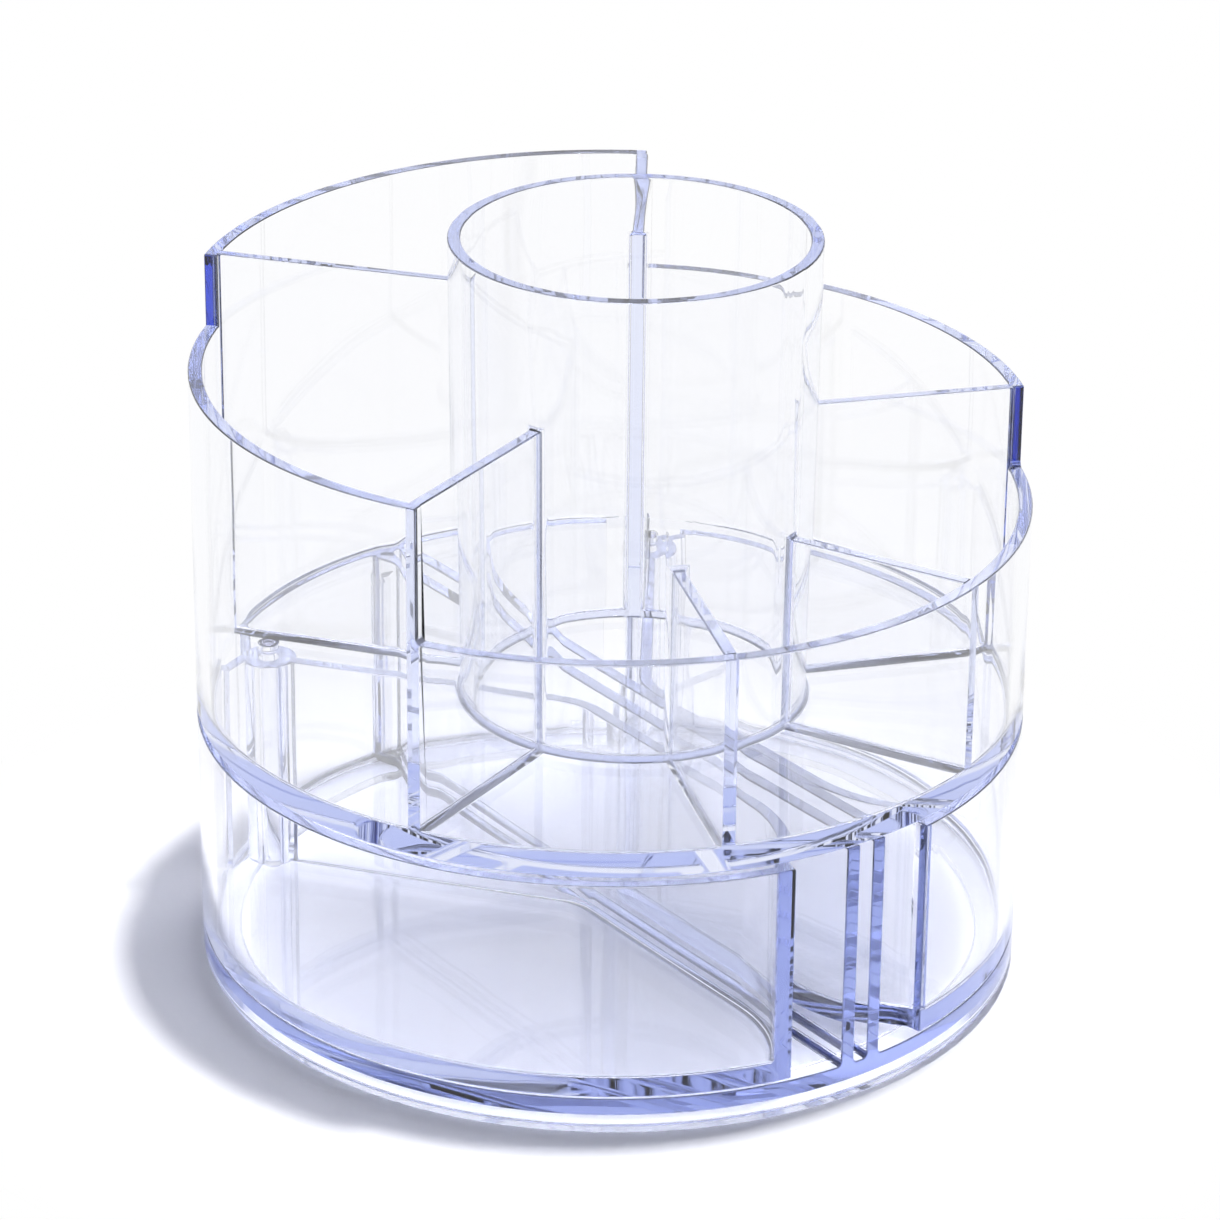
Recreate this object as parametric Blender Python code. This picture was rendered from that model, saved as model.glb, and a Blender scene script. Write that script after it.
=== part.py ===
"""Round two-tier organizer in clear plastic.

The upper tier is a tray with a stepped outer wall, a tall tube for brushes and six partitions.
The lower tier holds two drawers that swing out on upright pins, one on each side of a fixed divider.
Lengths are in metres, +Z is up, the origin is the middle of the foot ring on the ground, and the front
faces -Y. The drawers mirror each other across the divider's line, which runs from the back left to the
front right. They are drawn in that line's own frame, in which x runs along it towards the front.
"""

import math

import bmesh
import bpy
from mathutils import Matrix, Vector

MM = 0.001

# Round shell that both tiers share
OUTER_RADIUS = 89.0 * MM
OUTER_WALL = 3.0 * MM
BOND_GAP = 0.3 * MM

# Base plate with its foot ring
FOOT_RING_HEIGHT = 2.2 * MM
FOOT_RING_WIDTH = 7.1 * MM
FOOT_RING_INSET = 1.3 * MM
BASE_THICKNESS = 6.5 * MM

# Lower tier, with the two ribs of its fixed divider
LOWER_TIER_HEIGHT = 50.7 * MM
DIVIDER_ANGLE = math.radians(-53.8)
DIVIDER_THICKNESS = 3.2 * MM
DIVIDER_CHANNEL = 3.4 * MM

# Hinges of the drawers: upright pins towards the back, one on either side of the divider's line
HINGE_WALL_GAP = 3.3 * MM
HINGE_ANGLE = math.radians(136.6)
PIN_RADIUS = 1.9 * MM
PIN_CLEARANCE = 0.3 * MM
PIN_SOCKET_DEPTH = 3.0 * MM
BARREL_WALL = 4.0 * MM
SWING_CLEARANCE = 0.7 * MM
DRAWER_SWING = math.radians(90.0)

# Drawers
DRAWER_LIFT = 0.4 * MM
DRAWER_HEADROOM = 2.0 * MM
DRAWER_FLOOR = 3.0 * MM
DRAWER_INNER_WALL = 2.9 * MM
DRAWER_SIDE_GAP = 1.9 * MM
DRAWER_HINGE_MARGIN = math.radians(4.5)
DRAWER_BEND_PLACE = 1.5 * MM
DRAWER_BEND_RADIUS = 14.0 * MM
DRAWER_CORNER_INSET = 25.7 * MM
DRAWER_CORNER_RADIUS = 34.0 * MM

# Upper tray: wall heights are measured from its floor
TRAY_FLOOR = 4.2 * MM
FRONT_WALL_HEIGHT = 42.6 * MM
RIGHT_WALL_HEIGHT = 61.0 * MM
BACK_WALL_HEIGHT = 87.6 * MM
LEFT_WALL_HEIGHT = 71.6 * MM
PARTITION_THICKNESS = 2.7 * MM

# Brush tube, a little in front of the middle and slightly wider at its rim
TUBE_PLACE = Vector((4.4 * MM, -5.3 * MM))
TUBE_HEIGHT = 101.4 * MM
TUBE_FOOT_RADIUS = 38.0 * MM
TUBE_RIM_RADIUS = 39.0 * MM
TUBE_WALL = 2.8 * MM

# Partitions anticlockwise from the right: name, direction seen from the tube, and the height of the
# outer wall that follows each one
PARTITIONS = (
    ("partition_right", math.radians(14.0), RIGHT_WALL_HEIGHT),
    ("partition_back", math.radians(89.0), BACK_WALL_HEIGHT),
    ("partition_left", math.radians(164.0), LEFT_WALL_HEIGHT),
    ("partition_front_left", math.radians(239.0), FRONT_WALL_HEIGHT),
    ("partition_front", math.radians(284.0), FRONT_WALL_HEIGHT),
    ("partition_front_right", math.radians(329.0), FRONT_WALL_HEIGHT),
)

# Drawers: name, name of the hinge, and side of the divider's line, 1 as drawn and -1 mirrored
DRAWERS = (
    ("front_drawer", "left_hinge", -1),
    ("right_drawer", "back_hinge", 1),
)

# Facets and cuts
ARC_STEP = math.radians(4.0)
SMALL_ARC_STEP = math.radians(15.0)
SHARP_ANGLE = math.radians(30.0)
ROUNDING = 1e-6
CUT_OVERRUN = 1.0 * MM
WELD_DISTANCE = 0.001 * MM

# Clear plastic: linear tints, roughness and refraction
TRAY_TINT = (0.80, 0.82, 0.93)
BASE_TINT = (0.66, 0.69, 0.88)
DRAWER_TINT = (0.72, 0.75, 0.90)
PIN_TINT = (0.88, 0.90, 0.95)
PLASTIC_ALPHA = 0.35
PLASTIC_ROUGHNESS = 0.04
PLASTIC_IOR = 1.57

# Levels, radii and places that follow from the sizes above
INNER_RADIUS = OUTER_RADIUS - OUTER_WALL
SEAT_RADIUS = INNER_RADIUS - BOND_GAP
BASE_TOP = FOOT_RING_HEIGHT + BASE_THICKNESS
SOCKET_BOTTOM = BASE_TOP - PIN_SOCKET_DEPTH
TRAY_BOTTOM = BASE_TOP + LOWER_TIER_HEIGHT
TRAY_TOP = TRAY_BOTTOM + TRAY_FLOOR
TUBE_RIM = TRAY_TOP + TUBE_HEIGHT
DRAWER_BOTTOM = BASE_TOP + DRAWER_LIFT
DRAWER_FLOOR_TOP = DRAWER_BOTTOM + DRAWER_FLOOR
DRAWER_TOP = TRAY_BOTTOM - DRAWER_HEADROOM
DIVIDER_HALF = DIVIDER_CHANNEL / 2 + DIVIDER_THICKNESS
BORE_RADIUS = PIN_RADIUS + PIN_CLEARANCE
BARREL_RADIUS = BORE_RADIUS + BARREL_WALL
HINGE_RADIUS = INNER_RADIUS - HINGE_WALL_GAP - BARREL_RADIUS
MIDDLE = Vector((0.0, 0.0))


def direction(angle):
    """Return the unit vector at an angle."""
    return Vector((math.cos(angle), math.sin(angle)))


def angle_of(vector):
    """Return the angle of a plane vector."""
    return math.atan2(vector.y, vector.x)


def arc(centre, radius, start, end, step=ARC_STEP):
    """Return points along an arc, with both of its ends."""
    count = max(1, math.ceil(abs(end - start) / step - ROUNDING))
    return [centre + radius * direction(start + (end - start) * i / count) for i in range(count + 1)]


def circle(radius, step=ARC_STEP):
    """Return the points of a full circle about the middle."""
    return arc(MIDDLE, radius, 0.0, math.tau, step)[:-1]


def corner_angle(side, other_side, opposite):
    """Return a triangle's angle between two of its sides, from the lengths of all three."""
    return math.acos((side ** 2 + other_side ** 2 - opposite ** 2) / (2 * side * other_side))


def line_to_circle(start, heading, radius):
    """Return where a line that starts inside a circle about the middle meets it."""
    along = start.dot(heading)
    return start + heading * (-along + math.sqrt(along * along + radius * radius - start.dot(start)))


def clear_plastic(name, tint):
    """Make the clear plastic of one piece."""
    material = bpy.data.materials.new(name + "_plastic")
    material.use_nodes = True
    shader = material.node_tree.nodes["Principled BSDF"]
    shader.inputs["Base Color"].default_value = (*tint, 1.0)
    shader.inputs["Roughness"].default_value = PLASTIC_ROUGHNESS
    shader.inputs["Metallic"].default_value = 0.0
    shader.inputs["IOR"].default_value = PLASTIC_IOR
    shader.inputs["Transmission Weight"].default_value = 1.0
    material.diffuse_color = (*tint, PLASTIC_ALPHA)
    return material


def add_piece(name, bm, tint):
    """Turn a bmesh into a named object with its own plastic."""
    bmesh.ops.recalc_face_normals(bm, faces=bm.faces)
    mesh = bpy.data.meshes.new(name)
    bm.to_mesh(mesh)
    bm.free()
    mesh.shade_smooth()
    mesh.set_sharp_from_angle(angle=SHARP_ANGLE)
    mesh.materials.append(clear_plastic(name, tint))
    piece = bpy.data.objects.new(name, mesh)
    bpy.context.collection.objects.link(piece)
    return piece


def prism(name, tint, outline, bottom, top, top_outline=None):
    """Make an upright solid on an outline, whose top may have an outline of its own."""
    bm = bmesh.new()
    low = [bm.verts.new((point.x, point.y, bottom)) for point in outline]
    high = [bm.verts.new((point.x, point.y, top)) for point in top_outline or outline]
    bm.faces.new(low)
    bm.faces.new(high)
    for i in range(len(low)):
        bm.faces.new((low[i - 1], low[i], high[i], high[i - 1]))
    return add_piece(name, bm, tint)


def turned(name, tint, profile, closed):
    """Turn a profile of radii and heights about the upright axis."""
    bm = bmesh.new()
    verts = [bm.verts.new((radius, 0.0, height)) for radius, height in profile]
    first = 0 if closed else 1
    edges = [bm.edges.new((verts[i - 1], verts[i])) for i in range(first, len(verts))]
    bmesh.ops.spin(bm, geom=verts + edges, cent=(0.0, 0.0, 0.0), axis=(0.0, 0.0, 1.0), angle=math.tau,
                   steps=math.ceil(math.tau / ARC_STEP - ROUNDING), use_merge=True)
    bmesh.ops.remove_doubles(bm, verts=bm.verts, dist=WELD_DISTANCE)
    return add_piece(name, bm, tint)


def cut(piece, cutter):
    """Cut a hole into a piece with a hidden cutter."""
    boolean = piece.modifiers.new(cutter.name, "BOOLEAN")
    boolean.operation = "DIFFERENCE"
    boolean.solver = "EXACT"
    boolean.object = cutter


# Hinges

def hinge_in_divider_frame():
    """Return the place of the hinge that is drawn, in the divider's frame."""
    return HINGE_RADIUS * direction(HINGE_ANGLE)


def add_hinge(name, side):
    """Add the empty that a drawer turns on, with the hidden cutter of its pin's bore."""
    place = HINGE_RADIUS * direction(DIVIDER_ANGLE + HINGE_ANGLE * side)
    hinge = bpy.data.objects.new(name, None)
    hinge.location = (place.x, place.y, 0.0)
    hinge.rotation_euler.z = DIVIDER_ANGLE
    bpy.context.collection.objects.link(hinge)
    cutter = prism(name + "_bore", PIN_TINT, circle(BORE_RADIUS, SMALL_ARC_STEP), SOCKET_BOTTOM,
                   TRAY_TOP + CUT_OVERRUN)
    cutter.parent = hinge
    cutter.hide_render = True
    cutter.display_type = "WIRE"
    return hinge, cutter


def add_pin(name, hinge):
    """Add a fixed hinge pin, from its socket in the base to the top of the tray's floor."""
    pin = prism(name, PIN_TINT, circle(PIN_RADIUS, SMALL_ARC_STEP), SOCKET_BOTTOM + BOND_GAP, TRAY_TOP)
    pin.location = hinge.location
    return pin


# Base and divider

def add_base_plate(cutters):
    """Add the round plate that stands on a foot ring, with a socket for each pin."""
    ring_outer = OUTER_RADIUS - FOOT_RING_INSET
    ring_inner = ring_outer - FOOT_RING_WIDTH
    profile = (
        (0.0, FOOT_RING_HEIGHT),
        (ring_inner, FOOT_RING_HEIGHT),
        (ring_inner, 0.0),
        (ring_outer, 0.0),
        (ring_outer, FOOT_RING_HEIGHT),
        (OUTER_RADIUS, FOOT_RING_HEIGHT),
        (OUTER_RADIUS, BASE_TOP),
        (0.0, BASE_TOP),
    )
    plate = turned("base_plate", BASE_TINT, profile, closed=False)
    for cutter in cutters:
        cut(plate, cutter)


def casing_start():
    """Return the angle at which the casing starts, clear of a drawer's end and of its opened front."""
    hinge = hinge_in_divider_frame()
    wall_end = OUTER_RADIUS * direction(HINGE_ANGLE - DRAWER_HINGE_MARGIN)
    swing = (wall_end - hinge).length + SWING_CLEARANCE
    past_end = HINGE_ANGLE + corner_angle(HINGE_RADIUS, INNER_RADIUS, swing)
    opened_middle = hinge - Matrix.Rotation(DRAWER_SWING, 2) @ hinge
    past_front = angle_of(opened_middle) + corner_angle(
        opened_middle.length, INNER_RADIUS, OUTER_RADIUS + SWING_CLEARANCE)
    return max(past_end, past_front)


def add_casing_wall():
    """Add the fixed arc of shell at the back left, ending clear of the drawers' swing."""
    start = casing_start()
    end = math.tau - start
    outline = arc(MIDDLE, OUTER_RADIUS, start, end) + arc(MIDDLE, INNER_RADIUS, end, start)
    casing = prism("casing_wall", BASE_TINT, outline, BASE_TOP + BOND_GAP, TRAY_BOTTOM - BOND_GAP)
    casing.rotation_euler.z = DIVIDER_ANGLE


def add_divider_rib(name, side):
    """Add one of the divider's ribs, from the casing to the front edge."""
    near = side * DIVIDER_CHANNEL / 2
    far = side * DIVIDER_HALF
    front_near, front_far = (math.sqrt(OUTER_RADIUS ** 2 - face ** 2) for face in (near, far))
    back_near, back_far = (-math.sqrt(SEAT_RADIUS ** 2 - face ** 2) for face in (near, far))
    outline = [
        Vector((back_near, near)),
        Vector((front_near, near)),
        Vector((front_far, far)),
        Vector((back_far, far)),
    ]
    rib = prism(name, BASE_TINT, outline, BASE_TOP + BOND_GAP, TRAY_BOTTOM - BOND_GAP)
    rib.rotation_euler.z = DIVIDER_ANGLE


# Drawers, drawn in the divider's frame for the side with positive y

def drawer_wall_face(offset, start):
    """Return one face of a drawer's inner wall, from near the hinge to the outer wall.

    The offset is counted from the wall's middle towards the drawer's inside, and the start from the
    hinge's axis along the wall.
    """
    hinge = hinge_in_divider_frame()
    lane = DIVIDER_HALF + DRAWER_SIDE_GAP + DRAWER_INNER_WALL / 2
    bend = Vector((DRAWER_BEND_PLACE, lane))
    slope = angle_of(bend - hinge)
    first = hinge + start * direction(slope) + offset * direction(slope + math.pi / 2)
    bend_centre = bend + Vector((DRAWER_BEND_RADIUS * math.tan(-slope / 2), DRAWER_BEND_RADIUS))
    bend_arc = arc(bend_centre, DRAWER_BEND_RADIUS - offset, slope - math.pi / 2, -math.pi / 2)
    corner_centre = Vector((SEAT_RADIUS - DRAWER_CORNER_INSET, lane + DRAWER_CORNER_RADIUS))
    radius = DRAWER_CORNER_RADIUS - offset
    corner_end = angle_of(-corner_centre) + corner_angle(corner_centre.length, radius, SEAT_RADIUS)
    return [first] + bend_arc + arc(corner_centre, radius, -math.pi / 2, corner_end)


def drawer_wall_angles():
    """Return the angles at which a drawer's outer wall starts, at the front, and ends, by the hinge."""
    front = drawer_wall_face(-DRAWER_INNER_WALL / 2, BARREL_RADIUS)[-1]
    return angle_of(front), HINGE_ANGLE - DRAWER_HINGE_MARGIN


def barrel_tangent():
    """Return the angle, about the hinge, at which the drawer's end wall leaves the barrel."""
    to_wall = INNER_RADIUS * direction(drawer_wall_angles()[1]) - hinge_in_divider_frame()
    return angle_of(to_wall) + math.acos(BARREL_RADIUS / to_wall.length)


def drawer_floor_outline():
    """Return the outline of a drawer's floor, which follows the outside of its walls and barrel."""
    front, back = drawer_wall_angles()
    half = DRAWER_INNER_WALL / 2
    wall_start = math.sqrt(BARREL_RADIUS ** 2 - half ** 2)
    wall_face = drawer_wall_face(-half, wall_start)
    wall_angle = angle_of(wall_face[0] - hinge_in_divider_frame()) + math.tau
    lobe = arc(hinge_in_divider_frame(), BARREL_RADIUS, barrel_tangent(), wall_angle, SMALL_ARC_STEP)
    shell = arc(MIDDLE, OUTER_RADIUS, front, back)
    return shell + [INNER_RADIUS * direction(back)] + lobe + wall_face[1:]


def drawer_outer_wall_outline():
    """Return the outline of a drawer's curved front."""
    front, back = drawer_wall_angles()
    return arc(MIDDLE, OUTER_RADIUS, front, back) + arc(MIDDLE, INNER_RADIUS, back, front)


def drawer_inner_wall_outline():
    """Return the outline of a drawer's bent wall along the divider."""
    half = DRAWER_INNER_WALL / 2
    start = BARREL_RADIUS + BOND_GAP
    return drawer_wall_face(-half, start) + drawer_wall_face(half, start)[::-1]


def drawer_barrel_outline():
    """Return the outline of a hinge barrel with the end wall that joins it to the outer wall."""
    hinge = hinge_in_divider_frame()
    outward = barrel_tangent()
    heading = direction(outward - math.pi / 2)
    opening = math.acos((BARREL_RADIUS - DRAWER_INNER_WALL) / BARREL_RADIUS)
    lobe = arc(hinge, BARREL_RADIUS, outward, outward - opening + math.tau, SMALL_ARC_STEP)
    return lobe + [line_to_circle(lobe[-1], heading, SEAT_RADIUS),
                   line_to_circle(lobe[0], heading, SEAT_RADIUS)]


def add_drawer(name, hinge, cutter, side):
    """Add the pieces of one drawer on its hinge."""
    origin = hinge_in_divider_frame()
    walls_bottom = DRAWER_FLOOR_TOP + BOND_GAP
    pieces = (
        ("_floor", drawer_floor_outline(), DRAWER_BOTTOM, DRAWER_FLOOR_TOP, True),
        ("_outer_wall", drawer_outer_wall_outline(), walls_bottom, DRAWER_TOP, False),
        ("_inner_wall", drawer_inner_wall_outline(), walls_bottom, DRAWER_TOP, False),
        ("_barrel", drawer_barrel_outline(), walls_bottom, DRAWER_TOP, True),
    )
    for ending, outline, bottom, top, bored in pieces:
        shape = [Vector((point.x - origin.x, (point.y - origin.y) * side)) for point in outline]
        piece = prism(name + ending, DRAWER_TINT, shape, bottom, top)
        piece.parent = hinge
        if bored:
            cut(piece, cutter)


# Upper tray

def add_tray_floor(cutters):
    """Add the round floor between the tiers, with a hole for each pin."""
    floor = prism("tray_floor", TRAY_TINT, circle(OUTER_RADIUS), TRAY_BOTTOM, TRAY_TOP)
    for cutter in cutters:
        cut(floor, cutter)


def add_brush_tube():
    """Add the tall round tube."""
    foot = TRAY_TOP + BOND_GAP
    profile = (
        (TUBE_FOOT_RADIUS, foot),
        (TUBE_RIM_RADIUS, TUBE_RIM),
        (TUBE_RIM_RADIUS - TUBE_WALL, TUBE_RIM),
        (TUBE_FOOT_RADIUS - TUBE_WALL, foot),
    )
    tube = turned("brush_tube", TRAY_TINT, profile, closed=True)
    tube.location = TUBE_PLACE.to_3d()


def tube_radius(height):
    """Return the brush tube's outer radius at a height."""
    rise = (height - TRAY_TOP) / TUBE_HEIGHT
    return TUBE_FOOT_RADIUS + (TUBE_RIM_RADIUS - TUBE_FOOT_RADIUS) * rise


def partition_outline(angle, height, radius):
    """Return a partition's outline at a height, in its own frame on the tube's axis.

    The partition ends on a circle of the given radius about the middle of the tray.
    """
    middle = Matrix.Rotation(-angle, 2) @ -TUBE_PLACE
    half = PARTITION_THICKNESS / 2
    start = tube_radius(height) + BOND_GAP
    end_right, end_left = (middle.x + math.sqrt(radius ** 2 - (face - middle.y) ** 2) for face in (-half, half))
    return [
        Vector((start, -half)),
        Vector((end_right, -half)),
        Vector((end_left, half)),
        Vector((start, half)),
    ]


def wall_before(index):
    """Return the height of the outer wall that comes before a partition, anticlockwise."""
    return PARTITIONS[index - 1][2]


def add_partitions():
    """Add the upright panels from the tube to the outer wall, each as high as the wall it ends."""
    for index, (name, angle, wall_after) in enumerate(PARTITIONS):
        foot = TRAY_TOP + BOND_GAP
        top = TRAY_TOP + max(wall_before(index), wall_after)
        partition = prism(name, TRAY_TINT, partition_outline(angle, foot, SEAT_RADIUS), foot, top,
                          partition_outline(angle, top, SEAT_RADIUS))
        partition.location = TUBE_PLACE.to_3d()
        partition.rotation_euler.z = angle


def wall_steps():
    """Return the angles at which the outer wall changes height, with the height that follows each.

    A step lies on the lower side of its partition, so the higher wall carries the partition's end.
    """
    steps = []
    for index, (_, angle, wall_after) in enumerate(PARTITIONS):
        if wall_after == wall_before(index):
            continue
        right, left = partition_outline(angle, TRAY_TOP, INNER_RADIUS)[1:3]
        face = right if wall_after > wall_before(index) else left
        steps.append((angle_of(TUBE_PLACE + Matrix.Rotation(angle, 2) @ face) % math.tau, wall_after))
    return sorted(steps)


def add_outer_wall():
    """Add the tray's round wall in one piece, with a rim at four heights."""
    steps = wall_steps()
    angles = []
    tops = []
    for index, (start, height) in enumerate(steps):
        end = steps[index + 1][0] if index + 1 < len(steps) else steps[0][0] + math.tau
        count = math.ceil((end - start) / ARC_STEP - ROUNDING)
        angles += [start + (end - start) * i / count for i in range(count)]
        tops += [TRAY_TOP + height] * count
    levels = [TRAY_TOP + BOND_GAP] + sorted(set(tops))
    bm = bmesh.new()
    corners = {}

    def corner(place, radius, level):
        """Return the wall's corner at a place around it, a radius and a level."""
        key = (place % len(angles), radius, level)
        if key not in corners:
            point = radius * direction(angles[key[0]])
            corners[key] = bm.verts.new((point.x, point.y, levels[level]))
        return corners[key]

    def quad(*places):
        """Add a face through four corners."""
        bm.faces.new([corner(*place) for place in places])

    for place, top in enumerate(tops):
        before = tops[place - 1]
        after = tops[(place + 1) % len(tops)]
        crown = levels.index(top)
        for level in range(crown):
            for radius in (INNER_RADIUS, OUTER_RADIUS):
                quad((place, radius, level), (place + 1, radius, level),
                     (place + 1, radius, level + 1), (place, radius, level + 1))
            for end, neighbour in ((place, before), (place + 1, after)):
                if neighbour < levels[level + 1]:
                    quad((end, INNER_RADIUS, level), (end, OUTER_RADIUS, level),
                         (end, OUTER_RADIUS, level + 1), (end, INNER_RADIUS, level + 1))
        for level in (0, crown):
            quad((place, INNER_RADIUS, level), (place + 1, INNER_RADIUS, level),
                 (place + 1, OUTER_RADIUS, level), (place, OUTER_RADIUS, level))
    return add_piece("tray_outer_wall", bm, TRAY_TINT)


def main():
    """Build every piece of the organizer."""
    for old in list(bpy.data.objects):
        bpy.data.objects.remove(old)
    cutters = []
    for name, hinge_name, side in DRAWERS:
        hinge, cutter = add_hinge(hinge_name, side)
        cutters.append(cutter)
        add_pin(hinge_name + "_pin", hinge)
        add_drawer(name, hinge, cutter, side)
    add_base_plate(cutters)
    add_casing_wall()
    add_divider_rib("divider_rib_left", -1)
    add_divider_rib("divider_rib_right", 1)
    add_tray_floor(cutters)
    add_outer_wall()
    add_brush_tube()
    add_partitions()


main()
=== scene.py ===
# %% [markdown]
# A round makeup organizer in clear plastic, with two tiers. The upper tier is a tray with a brush tube and six
# partitions; the lower one holds two drawers that swing out on upright pins.
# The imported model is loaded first: it says where each piece is and what it moves with. Here each group of panels
# is modelled again as one clear moulding, because light shows every gap between two clear panels.

# %% Load the frame
import math

import bmesh
import bpy
from mathutils import Matrix, Vector


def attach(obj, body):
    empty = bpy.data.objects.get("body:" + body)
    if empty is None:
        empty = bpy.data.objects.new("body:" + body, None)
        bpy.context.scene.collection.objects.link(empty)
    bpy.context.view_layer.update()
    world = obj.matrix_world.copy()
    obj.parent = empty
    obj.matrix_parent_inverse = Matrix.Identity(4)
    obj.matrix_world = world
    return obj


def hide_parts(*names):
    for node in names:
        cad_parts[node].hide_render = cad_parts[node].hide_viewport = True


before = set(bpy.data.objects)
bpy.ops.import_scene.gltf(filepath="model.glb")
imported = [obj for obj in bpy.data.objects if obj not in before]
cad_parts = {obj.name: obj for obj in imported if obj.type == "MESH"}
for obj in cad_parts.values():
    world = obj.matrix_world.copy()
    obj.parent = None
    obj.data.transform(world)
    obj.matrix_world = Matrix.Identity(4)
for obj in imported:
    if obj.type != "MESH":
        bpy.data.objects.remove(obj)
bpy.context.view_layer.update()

# %% [markdown]
# Sizes are written in millimetres, as they would be measured on the object, and turned to metres by one factor.
# Every operator works on what is selected, so the selection is emptied before each new piece.

# %% Units and small helpers
MM = 0.001
TINY = 0.01 * MM            # nearer than this, two heights or corners are the same
SMALL = 0.1 * MM            # two heights that are meant to be level differ by less than this
MARGIN = 1.0 * MM           # a cutter sticks out, and a test of place gives way, by this much


def deselect():
    """Leave edit mode and select nothing."""
    if bpy.context.object and bpy.context.object.mode != "OBJECT":
        bpy.ops.object.mode_set(mode="OBJECT")
    bpy.ops.object.select_all(action="DESELECT")


def linear(hex_colour):
    """Turn an sRGB hex colour to the linear values that a shader takes."""
    parts = [int(hex_colour[i:i + 2], 16) / 255 for i in (1, 3, 5)]
    return [p / 12.92 if p <= 0.04045 else ((p + 0.055) / 1.055) ** 2.4 for p in parts] + [1.0]


def polar(radius, degrees, height=0.0):
    """Return a point at a radius and an angle about the upright axis."""
    angle = math.radians(degrees)
    return Vector((radius * math.cos(angle), radius * math.sin(angle), height))


# %% [markdown]
# The photograph was taken with a long lens from a little above, about a metre away. A long lens keeps upright
# walls upright. The camera is placed by its own place, the point that it looks at, and a small tilt.

# %% Camera
CAMERA_PLACE = Vector((-0.2, -974.0, 519.1)) * MM
LOOK_AT = Vector((-0.2, 0.0, 77.9)) * MM
CAMERA_TILT = 0.56          # degrees
PHOTO_FOCAL, PHOTO_WIDTH, SENSOR = 4988.15, 1220.0, 36.0

deselect()
bpy.ops.object.camera_add()
camera = bpy.context.object
camera.name = "photo_camera"
camera.data.sensor_width = SENSOR
camera.data.lens = PHOTO_FOCAL * SENSOR / PHOTO_WIDTH
turn = (LOOK_AT - CAMERA_PLACE).to_track_quat("-Z", "Y")
camera.matrix_world = (Matrix.Translation(CAMERA_PLACE) @ turn.to_matrix().to_4x4()
                       @ Matrix.Rotation(math.radians(CAMERA_TILT), 4, "Z"))
bpy.context.scene.camera = camera
bpy.context.scene.view_settings.view_transform = "Standard"
print("lens", round(camera.data.lens, 2), "mm")

# %% [markdown]
# Every material is built from nodes. One function adds a node, sets what differs from its defaults, and links its
# inputs, so that each material below reads as a short list.

# %% Adding a node
def add_node(tree, kind, settings=None, **links):
    """Add a node, set its properties and sockets, and link its inputs to other sockets."""
    node = tree.nodes.new(kind)
    for key, value in (settings or {}).items():
        if key in node.inputs:
            node.inputs[key].default_value = value
        else:
            setattr(node, key, value)
    for key, source in links.items():
        tree.links.new(source, node.inputs[key.replace("_", " ")])
    return node


# %% [markdown]
# The object was photographed on a sheet of white paper: matt, almost white, with no sheen. A curved backdrop
# could be modelled behind it, but the picture shows pure white there, so one flat sheet is enough. Near the
# object it is lit paper that holds the shadow. Farther out it fades to plain white for whoever looks at it,
# directly, through the plastic or in a reflection.

# %% White paper sheet
FLOOR_SIZE = 6000.0 * MM
FLOOR_GAP = 0.1 * MM        # clear plastic that touches the sheet exactly would render black
FLOOR_COLOUR = "#F7F7FA"
PAPER_ROUGHNESS = 0.9
SHADOW_FROM, SHADOW_TO = 108.0 * MM, 165.0 * MM     # the sheet fades to pure white between these circles
deselect()
bpy.ops.mesh.primitive_plane_add(size=FLOOR_SIZE, location=(0, 0, -FLOOR_GAP))
floor = bpy.context.object
floor.name = "floor"
paper = bpy.data.materials.new("white_paper_sweep")
paper.use_nodes = True
tree = paper.node_tree
paper_shader = tree.nodes["Principled BSDF"]
paper_shader.inputs["Base Color"].default_value = linear(FLOOR_COLOUR)
paper_shader.inputs["Roughness"].default_value = PAPER_ROUGHNESS
paper_shader.inputs["Specular IOR Level"].default_value = 0.0
place = add_node(tree, "ShaderNodeTexCoord")
distance = add_node(tree, "ShaderNodeVectorMath", {"operation": "LENGTH"})
tree.links.new(place.outputs["Object"], distance.inputs[0])
far = add_node(tree, "ShaderNodeMapRange", {"From Min": SHADOW_FROM, "From Max": SHADOW_TO,
                                            "interpolation_type": "SMOOTHSTEP"},
               Value=distance.outputs["Value"])
sight = add_node(tree, "ShaderNodeLightPath")
straight = add_node(tree, "ShaderNodeMath", {"operation": "MAXIMUM"})
tree.links.new(sight.outputs["Is Camera Ray"], straight.inputs[0])
tree.links.new(sight.outputs["Is Transmission Ray"], straight.inputs[1])
any_sight = add_node(tree, "ShaderNodeMath", {"operation": "MAXIMUM"})
tree.links.new(straight.outputs[0], any_sight.inputs[0])
tree.links.new(sight.outputs["Is Glossy Ray"], any_sight.inputs[1])
blank = add_node(tree, "ShaderNodeMath", {"operation": "MULTIPLY"})
tree.links.new(far.outputs["Result"], blank.inputs[0])
tree.links.new(any_sight.outputs[0], blank.inputs[1])
white = add_node(tree, "ShaderNodeEmission", {"Color": linear("#FFFFFF"), "Strength": 1.0})
blend = add_node(tree, "ShaderNodeMixShader")
tree.links.new(blank.outputs[0], blend.inputs[0])
tree.links.new(paper_shader.outputs["BSDF"], blend.inputs[1])
tree.links.new(white.outputs["Emission"], blend.inputs[2])
tree.links.new(blend.outputs["Shader"], tree.nodes["Material Output"].inputs["Surface"])
floor.data.materials.append(paper)
print("sheet", round(FLOOR_SIZE / MM), "mm, fades from", round(SHADOW_FROM / MM), "to", round(SHADOW_TO / MM))

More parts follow.
